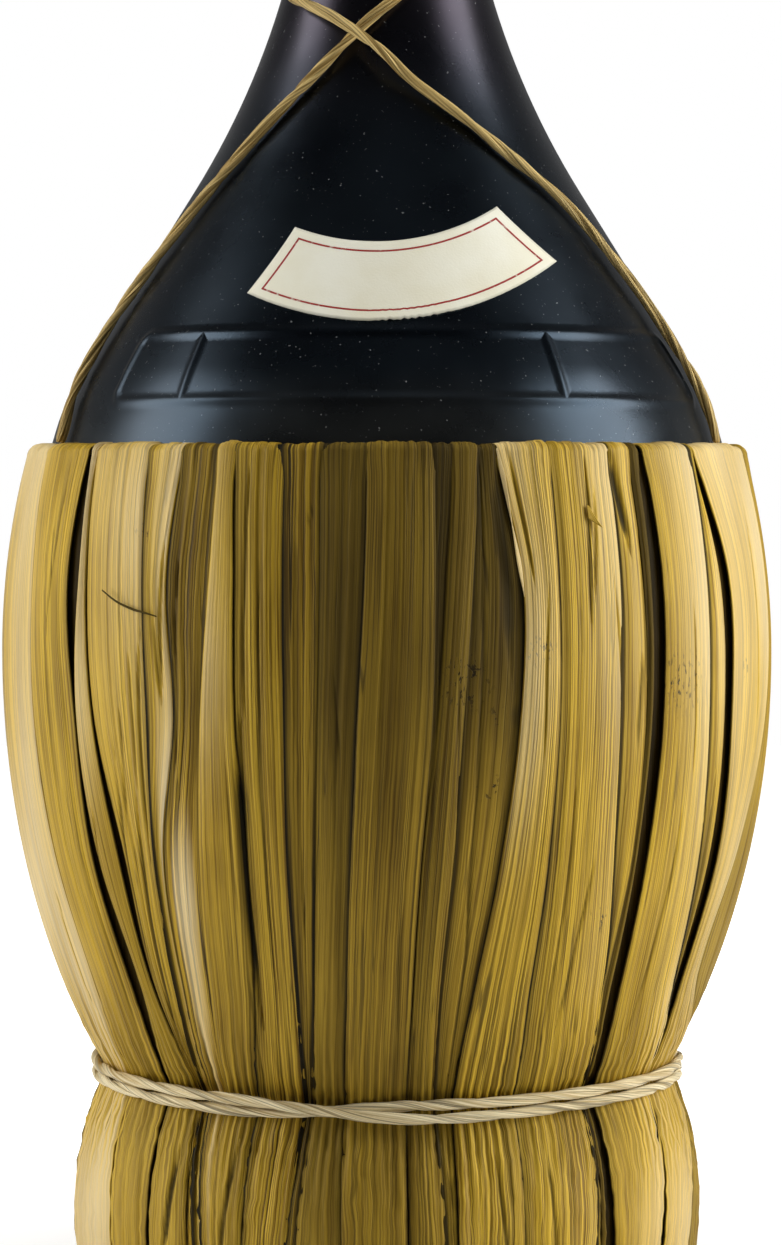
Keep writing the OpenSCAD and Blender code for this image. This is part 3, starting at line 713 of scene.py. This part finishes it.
def rush_leaf(index, start, end, under_left, under_right, level, above, below, olive, ribs):
    """One leaf of the jacket, as a sheet with its own thickness"""
    rng = random.Random(100 + index)
    left, right = start[2], end[2]
    width = math.radians(max(b - a for a, b in zip(start, end))) * BELLY_JACKET_R
    seed = index * 7.31
    rib_step = rng.uniform(0.9, 1.5) * MM
    crease_at = [rng.uniform(0.1, 0.9) for _ in range(max(1, int(width / (3.6 * MM))))]
    crease_up = [rng.uniform(-0.26, 0.12) * MM for _ in crease_at]
    camber = rng.uniform(0.2, 0.42) * MM
    tilt = rng.uniform(-0.2, 0.2) * MM * (1 if level == 0 else 0.4)
    # One side of the leaf painted lighter than the other, as light falls across it
    painted_side_light = rng.uniform(-0.14, 0.14)
    columns = min(64, max(8, int(width / (0.3 * MM))))
    splits = [row for row in SPLITS if min(start) - 1 < row[0] < max(end) + 1]
    for _ in range(rng.choice((0, 1, 1, 2))):
        a, z = rng.uniform(left, right), rng.uniform(60, 150)
        splits.append((a, z, a + rng.uniform(-1, 1), z - rng.uniform(8, 40), 0.22,
                       rng.uniform(0.1, 0.2), rng.uniform(0.3, 0.6)))
    # Painted shade and painted highlight of each point, taken off its tone
    painted_shade_and_highlight = []

    def place(across, along):
        r, z, nr, nz, s = track[round(along * (len(track) - 1))]
        at_rim = ease((z - 150 * MM) / (6 * MM))
        fray = noise.noise(Vector((seed, s * 260, across * 2))) * 0.07
        meander = noise.noise(Vector((seed, s * 30, 0.5))) * 0.16
        low = edge_at(start, z) - (UNDER if under_left else -EDGE_IN) - 0.3 * at_rim
        high = edge_at(end, z) + (UNDER if under_right else -EDGE_IN) + 0.3 * at_rim
        edge = 2 * across - 1
        azimuth = low + (high - low) * across + meander * (0.3 + abs(edge))
        azimuth += math.copysign(fray, edge) * abs(edge) ** 6 / max(r / BELLY_JACKET_R, 0.5)
        wide = math.radians(high - low) * r
        to_edge = min(across, 1 - across) * wide
        u = across * width
        out = -level * LEVEL_DROP * (1 - 0.6 * at_rim)
        out += camber * (0.3 - edge * edge) + tilt * edge * (0.6 + noise.noise(Vector((seed, s * 9, 1))))
        # Ribs, broad ridges, creases and the curl of the edges
        swell = 0.45 + 0.9 * noise.noise(Vector((u * 210 + seed, s * 7, 3)))
        out += ribs * 0.075 * MM * swell * math.sin(
            2 * math.pi * u / rib_step + 2.5 * noise.noise(Vector((seed, s * 14, 2))))
        out += (0.03 + ribs * 0.09) * MM * noise.noise(Vector((u * 700 + seed, s * 9, 4)))
        out += 0.16 * MM * noise.noise(Vector((u * 170 + seed, s * 12, 6)))
        for place_at, up in zip(crease_at, crease_up):
            wander = place_at + 0.04 * noise.noise(Vector((seed + place_at, s * 18, 5)))
            out += up * math.exp(-((across - wander) * wide / (0.42 * MM)) ** 2)
        curl = noise.noise(Vector((seed + edge, s * 16, 8)))
        out += (0.2 * MM * curl - 0.22 * MM) * math.exp(-(to_edge / (0.5 * MM)) ** 2)
        # Each edge darker, partly its browner cut edge and partly painted shade
        dark = 0.7 * math.exp(-(to_edge / (0.22 * MM)) ** 2)
        # On top leaves a painted highlight just inside the edge
        if level == 0:
            dark -= 0.3 * math.exp(-((to_edge - 0.55 * MM) / (0.3 * MM)) ** 2)
        # Painted shadow where the leaf runs under its neighbour's edge
        for hidden, gap in ((under_left, across * wide), (under_right, (1 - across) * wide)):
            if hidden:
                seen = max(gap - math.radians(UNDER) * r, 0)
                dark = max(dark, 0.97 * math.exp(-(seen / (0.38 * MM)) ** 2),
                           0.45 * math.exp(-(seen / (1.5 * MM)) ** 2))
        # Pleats where the cord draws the leaf in, with painted shade in their valleys
        near_waist = math.exp(-((z - WAIST_Z) / (13 * MM)) ** 2)
        pleat = math.sin(2 * math.pi * u / (2.2 * MM) + 3 * noise.noise(Vector((seed, s * 30, 9))))
        out -= near_waist * 0.38 * MM * (0.5 + 0.5 * pleat)
        crumpled = near_waist + 0.7 * ease((40 * MM - z) / (8 * MM))
        out += crumpled * 0.4 * MM * noise.noise(Vector((u * 300 + seed, s * 420, 10)))
        # Painted shade in the pleats' valleys
        dark = max(dark, 0.45 * near_waist * (0.5 + 0.5 * pleat))
        # Each split sinks the leaf, with painted shade in its groove
        for a0, z0, a1, z1, spread, depth, split_shade in splits:
            t = (z0 * MM - z) / ((z0 - z1) * MM)
            ends = ease(t * 4) * ease((1 - t) * 4)
            if ends > 0:
                away = math.radians(azimuth - a0 - (a1 - a0) * t) * r
                away += 0.4 * MM * noise.noise(Vector((seed + a0, s * 60, 12)))
                share = math.exp(-(away / (spread * MM * (0.2 + 0.8 * ends))) ** 4)
                out -= depth * MM * share
                dark = max(dark, split_shade * share * ends)
        painted_shade_and_highlight.append(dark + painted_side_light * edge)
        out = min(out, 0.3 * MM - level * 0.2 * MM)
        z_up = at_rim * MM * (0.5 * noise.noise(Vector((seed + u * 140, 0, 11)))
                              + 0.35 * noise.noise(Vector((seed + u * 900, 0, 13))))
        return around(azimuth, r + out * nr, z + out * nz + z_up)

    def lay(across, along):
        _, z, _, _, s = track[round(along * (len(track) - 1))]
        low_down = ease((46 * MM - z) / (8 * MM))
        wave = (0.1 + 0.45 * low_down) * MM * noise.noise(Vector((across * 3 + seed, s * 230, 14)))
        return (across * width + wave + index * 0.05, s)

    leaf = grid_piece("rush_leaf_%02d" % (index + 1), columns, len(track) - 1, place, lay)
    face_out(leaf)
    for attribute in LEAF_LOOK:
        leaf.data.attributes.new(attribute, "FLOAT", "POINT")
    shade, hue, bitten, ribbed = (leaf.data.attributes[attribute] for attribute in LEAF_LOOK)
    near = [(around(a, jacket_r(z * MM), z * MM), size * MM) for a, z, size in BITTEN
            if min(start) - 4 < a < max(end) + 4]
    for k, v in enumerate(leaf.data.vertices):
        patch = noise.noise(Vector((v.co.x * 90, v.co.y * 90, v.co.z * 22 + seed)))
        # Each point's tone, from above to below with random patches, times its painted shade and painted
        # highlight
        tone_and_painted_light = below + (above - below) * ease((v.co.z - 75 * MM) / (50 * MM))
        shade.data[k].value = tone_and_painted_light * (1 + 0.16 * patch) * (1 - painted_shade_and_highlight[k])
        hue.data[k].value = olive + 0.2 * noise.noise(v.co * 34 + Vector((0, seed, 0)))
        bitten.data[k].value = max((math.exp(-((v.co - at).length / size) ** 2) for at, size in near),
                                   default=0)
        ribbed.data[k].value = 0.36 + 0.64 * ribs + 0.4 * noise.noise(v.co * 40 + Vector((seed, 0, 0)))
    thicken(leaf, LEAF_T)
    return leaf


# Dried rush: long fine grain, broader bands, cracks along the grain and small dark marks
grain, enter, leave = new_group(
    "rush_grain",
    {"Place": "Vector", "Light": "Color", "Dark": "Color", "Marks": "Float", "Ribs": "Float"},
    {"Color": "Color", "Height": "Float"})


def banded(tree, source, scale, detail, rough):
    """Noise drawn out by its own scale along each direction"""
    stretch = node(tree, "ShaderNodeMapping", {"Vector": source, "Scale": scale})
    return clouds(tree, stretch.outputs["Vector"], 1, detail, rough)


place, ribs = enter["Place"], enter["Ribs"]
fine = banded(grain, place, (4200, 24, 1), 3, 0.6)
middling = banded(grain, place, (2000, 9, 1), 2, 0.5)
broad = banded(grain, place, (620, 6, 1), 3, 0.55)
patchy = banded(grain, place, (110, 34, 1), 3, 0.5)
vein = banded(grain, place, (1100, 5, 1), 1, 0.5)
crack = banded(grain, place, (330, 10, 1), 2, 0.5)
fleck = banded(grain, place, (950, 560, 1), 3, 0.6)
streak = maths(grain, "ADD", ranged(grain, fine, 0.37, 0.63, -0.26, 0.26),
               ranged(grain, middling, 0.38, 0.62, -0.27, 0.27))
light = maths(grain, "ADD", maths(grain, "MULTIPLY", streak, ribs),
              ranged(grain, broad, 0.32, 0.68, -0.22, 0.22))
light = maths(grain, "ADD", light, ranged(grain, patchy, 0.3, 0.7, 0.48, 0.8))
# Veins and cracks are thin lines where a noise crosses its middle
vein = maths(grain, "ABSOLUTE", maths(grain, "SUBTRACT", vein, 0.5), 0)
vein = maths(grain, "MULTIPLY", ranged(grain, vein, 0.012, 0.04, 1, 0),
             ranged(grain, broad, 0.4, 0.55))
vein = maths(grain, "MULTIPLY", vein, ribs)
crack = maths(grain, "ABSOLUTE", maths(grain, "SUBTRACT", crack, 0.5), 0)
crack = maths(grain, "MULTIPLY", ranged(grain, crack, 0.004, 0.018, 1, 0),
              ranged(grain, patchy, 0.52, 0.62))
mark = maths(grain, "MULTIPLY", ranged(grain, fleck, 0.57, 0.62), enter["Marks"])
crack = maths(grain, "MAXIMUM", maths(grain, "MULTIPLY", crack, 0.6),
              maths(grain, "MULTIPLY", vein, 0.65))
flaw = maths(grain, "MAXIMUM", crack, mark)
height = maths(grain, "ADD", maths(grain, "MULTIPLY", fine, 0.5),
               maths(grain, "MULTIPLY", middling, 0.6))
height = maths(grain, "ADD", height, maths(grain, "MULTIPLY", broad, 0.4))
feed(grain, leave, {
    "Color": mixed(grain, flaw, mixed(grain, light, enter["Dark"], enter["Light"]),
                   (0.035, 0.017, 0.001, 1)),
    "Height": maths(grain, "SUBTRACT", height, maths(grain, "MULTIPLY", flaw, 0.5))})


def rush_material(name, light, dark, marks, depth, by_map=True, tinted_with_painted_light=False, gloss=0.38):
    """A rush finish between two colours. Its grain follows the piece's own map, or runs round
    the axis where the piece has none"""
    made, tree, shader = finish(name)
    where = node(tree, "ShaderNodeTexCoord").outputs["UV" if by_map else "Object"]
    fibres = node(tree, "ShaderNodeGroup", {
        "Place": where, "Light": (*light, 1), "Dark": (*dark, 1), "Marks": marks, "Ribs": 1,
    }, node_tree=grain)
    colour, rough = fibres.outputs["Color"], 0.45
    # Leaves take their tone, with its painted shade and painted sheen, from their attributes
    if tinted_with_painted_light:
        tone_and_painted_light, olive, bitten, ribbed = (
            node(tree, "ShaderNodeAttribute", attribute_name=look).outputs["Fac"] for look in LEAF_LOOK)
        feed(tree, fibres, {"Ribs": ribbed, "Marks": ranged(tree, bitten, 0.1, 0.9)})
        browned = mixed(tree, olive, colour, (0.74, 0.7, 0.55, 1), "MULTIPLY")
        toned_and_painted_light = mixed(tree, 1, browned, tone_and_painted_light, "MULTIPLY")
        # Tones above 0.95 are painted paler towards cream, a painted sheen
        painted_sheen = ranged(tree, tone_and_painted_light, 0.95, 1.6, 0, 0.85)
        colour = mixed(tree, painted_sheen, toned_and_painted_light, (0.85, 0.7, 0.42, 1))
        rough = ranged(tree, tone_and_painted_light, 0.15, 1.2, 0.75, 0.42)
    feed(tree, shader, {
        "Base Color": colour, "Roughness": rough, "Specular IOR Level": gloss,
        "Specular Tint": (1, 0.84, 0.5, 1),
        "Normal": bumped(tree, fibres.outputs["Height"], 0.85, depth)})
    return made


leaf_finish = rush_material("dried_rush_leaf", (0.7, 0.45, 0.036), (0.18, 0.094, 0.002), 0,
                            0.2 * MM, tinted_with_painted_light=True)
for index, row in enumerate(leaves):
    leaf = rush_leaf(index, *row)
    coat(leaf, leaf_finish)
    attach(leaf, "bottle")
    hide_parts("straw_leaf_%02d" % (index + 1))


BIT_T = 0.16 * MM


def loose(host, name, columns, rows, tone_and_painted_light, place):
    """A loose bit of leaf, shown with the leaf it comes from"""
    bit = grid_piece(name, columns, rows, place, lambda across, along: (across * 0.003, along * 0.02))
    for attribute, value in (("tone_and_painted_light", tone_and_painted_light), ("olive", 0.1), ("bitten", 0), ("ribbed", 0.6)):
        bit.data.attributes.new(attribute, "FLOAT", "POINT")
        for share in bit.data.attributes[attribute].data:
            share.value = value
    face_out(bit)
    thicken(bit, BIT_T)
    coat(bit, leaf_finish)
    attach(bit, "bottle")
    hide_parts(host)


def over_leaves(azimuth, z, lift):
    """A point at a lift in millimetres above the jacket's face"""
    return around(azimuth, jacket_r(z * MM) + lift * MM, z * MM)


def stray(across, along):
    """A stray brown fibre, caught under a leaf's edge and standing off it"""
    azimuth, z, lift = curve_at([(-42.9, 131.8, 1.3), (-40.2, 129.9, 1.0), (-37.4, 128.6, 0.5),
                                 (-35.6, 128.2, 0.7), (-33.4, 127.5, 0.3)], along * 3.999)
    z += 0.42 * (across - 0.5) * (0.5 + 0.5 * math.sin(math.pi * along))
    return over_leaves(azimuth, z, lift)


def flap(across, along):
    """A torn corner of a cracked leaf, curled outwards"""
    curl = (1 - along) * across
    return over_leaves(29.6 + 1.9 * across * (1 - 0.8 * along),
                       146.4 - 3.8 * (1 - along) * (0.55 + 0.45 * across), 0.1 + 0.9 * curl * curl)


def sliver(across, along):
    """A narrow twisted strip along the golden leaf's edge"""
    turn = 2.4 * along + 0.5
    broad = min(1, 4 * (1 - along), 0.3 + 4 * along)
    return over_leaves(16.2 + 2.9 * along + broad * (across - 0.5) * math.cos(turn), 156 - 25 * along,
                       0.1 + 0.35 * broad + 0.5 * broad * (across - 0.5) * math.sin(turn))


loose("straw_leaf_04", "stray_fibre", 2, 40, 0.16, stray)
loose("straw_leaf_16", "torn_flap", 8, 8, 1.0, flap)
loose("straw_leaf_15", "twisted_sliver", 3, 50, 1.35, sliver)


# Under the leaves: ten broad lining leaves painted near black as the shade under the jacket,
# a hoop of split cane that the leaves fold over, and the foot ring of rolled straw that the flask stands
# on.
# The lining is painted near black, as painted shade seen between the leaves
lining_painted_shade = rush_material("lining_rush_painted_shade", (0.03, 0.018, 0.004), (0.01, 0.006, 0.001), 0.3,
                              0.1 * MM, by_map=False, gloss=0.05)
cane_finish = rush_material("split_cane", (0.42, 0.27, 0.09), (0.2, 0.12, 0.03), 0.3, 0.1 * MM,
                            by_map=False)
ring_finish = rush_material("rolled_straw", (0.5, 0.36, 0.14), (0.2, 0.13, 0.04), 0.6, 0.3 * MM,
                            by_map=False)
for k in range(10):
    coat(nodes["lining_strip_%02d" % (k + 1)], lining_painted_shade)
coat(nodes["rim_hoop"], cane_finish)
coat(nodes["foot_ring"], ring_finish)


# The neck cord: twisted rush of two plies. It comes up from the rim at the left, crosses
# under itself in front, goes round the neck and comes down to the rim at the right.
# Each point of its route is an azimuth, a height in millimetres and a lift in strands.
NECK_ROUTE = [
    (-67.5, 160, 0), (-70, 169, 0), (-71, 178, 0), (-68.5, 186, 0), (-62, 196.5, 0),
    (-53, 206.5, 0), (-43, 214.3, 0), (-30, 222, 0), (-15.5, 229.5, 0), (1.5, 236, 0),
    (40, 247, 0), (90, 253, 0), (140, 256, 0), (190, 256, 0), (240, 252, 0),
    (280, 244.5, 0), (306, 238.5, 0.3), (330, 234, 1), (344, 230.5, 1.05), (357, 226, 1),
    (369, 221, 0.3), (388, 213.7, 0), (402, 206.5, 0), (413.5, 200, 0), (422, 191, 0.04),
    (427, 182, 0.1), (428.5, 172, 0.1), (429, 160, 0.08),
]
CORD_D, STRAND_GAP, CORD_STEP = 2.2 * MM, 0.5 * MM, 0.9 * MM
# Shares of a cord's diameter: a ply's distance from the cord's line, and its own radius
PLY_OFF, PLY_GIRTH = 0.19, 0.32


def even_path(points, step):
    """The same path with its points an even step apart"""
    path = [points[0]]
    left = step
    for a, b in zip(points, points[1:]):
        length = (b - a).length
        at = left
        while at <= length:
            path.append(a.lerp(b, at / length))
            at += step
        left = at - length
    return path + [points[-1]]


def plied_cord(name, path, diameter, lay_length, seed):
    """A cord of two twisted plies: each is an uneven strand that winds round the cord's line"""
    strands = []
    step = (path[1] - path[0]).length
    for ply in range(2):
        def place(across, along, ply=ply):
            k = round(along * (len(path) - 1))
            ahead = (path[min(k + 1, len(path) - 1)] - path[max(k - 1, 0)]).normalized()
            out = Vector((path[k].x, path[k].y, 0)).normalized()
            out = (out - ahead * out.dot(ahead)).normalized()
            side = ahead.cross(out)
            wobble = 1.1 * noise.noise(Vector((seed, k * step * 60, 0)))
            turn = 2 * math.pi * (k * step / lay_length + ply / 2) + wobble
            away = math.cos(turn) * out + math.sin(turn) * side
            along_turn = math.cos(turn) * side - math.sin(turn) * out
            angle = 2 * math.pi * across
            swell = 1 + 0.14 * noise.noise(Vector((seed + ply, k * step * 110, 1)))
            ridge = 0.06 * math.sin(5 * angle + 4 * k * step / lay_length)
            ridge += 0.13 * noise.noise(
                Vector((math.cos(angle) * 2, math.sin(angle) * 2, k * step * 120 + seed)))
            girth = diameter * PLY_GIRTH * (swell + ridge)
            if k in (0, len(path) - 1):
                girth *= 0.6
            return (path[k] + diameter * PLY_OFF * away
                    + girth * (0.8 * math.cos(angle) * away + math.sin(angle) * along_turn))

        def lay(across, along, ply=ply):
            return (across * diameter * 1.9 + ply * 0.02, along * step * (len(path) - 1))

        strand = grid_piece(name, 18, len(path) - 1, place, lay)
        bpy.ops.object.mode_set(mode="EDIT")
        bpy.ops.mesh.select_all(action="SELECT")
        bpy.ops.mesh.remove_doubles(threshold=0.005 * MM)
        bpy.ops.mesh.select_all(action="DESELECT")
        bpy.ops.mesh.select_non_manifold()
        bpy.ops.mesh.edge_face_add()
        bpy.ops.mesh.select_all(action="SELECT")
        bpy.ops.mesh.normals_make_consistent(inside=False)
        bpy.ops.object.mode_set(mode="OBJECT")
        strands.append(strand)
    return join(strands, name)


def neck_line():
    """Centres of the neck cord"""
    points = []
    rings = 600
    for k in range(rings + 1):
        azimuth, z, lift = curve_at(NECK_ROUTE, k * (len(NECK_ROUTE) - 1) / rings)
        z *= MM
        n = glass_normal(z)
        off = SEAT + CORD_D / 2 + lift * (CORD_D + STRAND_GAP)
        points.append(around(azimuth, glass_r(z) + off * n[0], z + off * n[1]))
    start, end = (around(row[0], glass_r(RIM_Z) + SEAT + CORD_D / 2, RIM_Z + SEAT)
                  for row in (NECK_ROUTE[0], NECK_ROUTE[-1]))
    return even_path([start] + points + [end], CORD_STEP)


neck_cord = plied_cord("neck_cord_rush", neck_line(), CORD_D, 36 * MM, 3)
coat(neck_cord, rush_material(
    "golden_rush_cord", (0.74, 0.55, 0.22), (0.2, 0.11, 0.02), 0, 0.24 * MM))
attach(neck_cord, "bottle")
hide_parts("neck_cord")


# The waist cord: pale raffia of two plies, wound twice round the jacket. Its first turn runs
# high at the left, crosses over the second in front and runs low at the right. The ends are
# tied in a small knot at the back.
CROSS_AZ, CROSS_HALF, LIFT_HALF = -10, 20, 46
KNOT_LEN, HALF_APART, BEDDED = 7 * MM, 1.12 * MM, 0.9 * MM
TURN_GAP = CORD_D + STRAND_GAP
WAIST_LEAN = math.hypot(1, (jacket_r(WAIST_Z + 0.5 * MM) - WAIST_R) / (0.5 * MM))


def waist_point(a):
    """A point of the waist cord's line, a in degrees from the knot, over two turns"""
    turn = min(int(a // 360), 1)
    azimuth = a - 360 * turn - 180
    from_cross = azimuth - CROSS_AZ
    side = 1 if turn == 0 else -1
    swap = ease((from_cross + CROSS_HALF) / (2 * CROSS_HALF))
    lift = 0
    if side > 0 and abs(from_cross) < LIFT_HALF:
        lift = math.cos(math.radians(90 * from_cross / LIFT_HALF)) ** 2
    z = WAIST_Z + side * HALF_APART * (1 - 2 * swap)
    r = (jacket_r(z) + (SEAT + CORD_D / 2) * WAIST_LEAN) / math.cos(math.radians(7.5)) - BEDDED
    sag = 0.25 * MM * noise.noise(Vector((a * 0.02, 5, 0))) - 0.7 * MM * math.exp(-(azimuth / 40) ** 2)
    return around(azimuth, r + lift * TURN_GAP * 0.7, z + sag)


knot_half = math.degrees(KNOT_LEN / 2 / WAIST_R)
turns = [waist_point(knot_half + (720 - 2 * knot_half) * k / 900) for k in range(901)]
waist_cord = plied_cord("waist_cord_raffia", even_path(turns, CORD_STEP), CORD_D, 27 * MM, 11)
raffia = rush_material("pale_raffia", (0.95, 0.83, 0.54), (0.5, 0.36, 0.15), 0, 0.2 * MM)
coat(waist_cord, raffia)
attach(waist_cord, "bottle")
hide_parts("waist_cord")


low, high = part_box("waist_knot")
KNOT_D = 1.5 * MM


def knot_point(t):
    """A trefoil knot, lying flat on the leaves"""
    x = math.sin(t) + 2 * math.sin(2 * t)
    z = math.cos(t) - 2 * math.cos(2 * t)
    y = -math.sin(3 * t)
    return (low + high) / 2 + Vector((x * 0.95 * MM, y * 0.55 * MM, z * 0.75 * MM))


loop = [knot_point(2 * math.pi * k / 160) for k in range(157)]
knot = plied_cord("waist_knot_raffia", loop, KNOT_D, 9 * MM, 5)
coat(knot, raffia)
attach(knot, "bottle")
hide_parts("waist_knot")
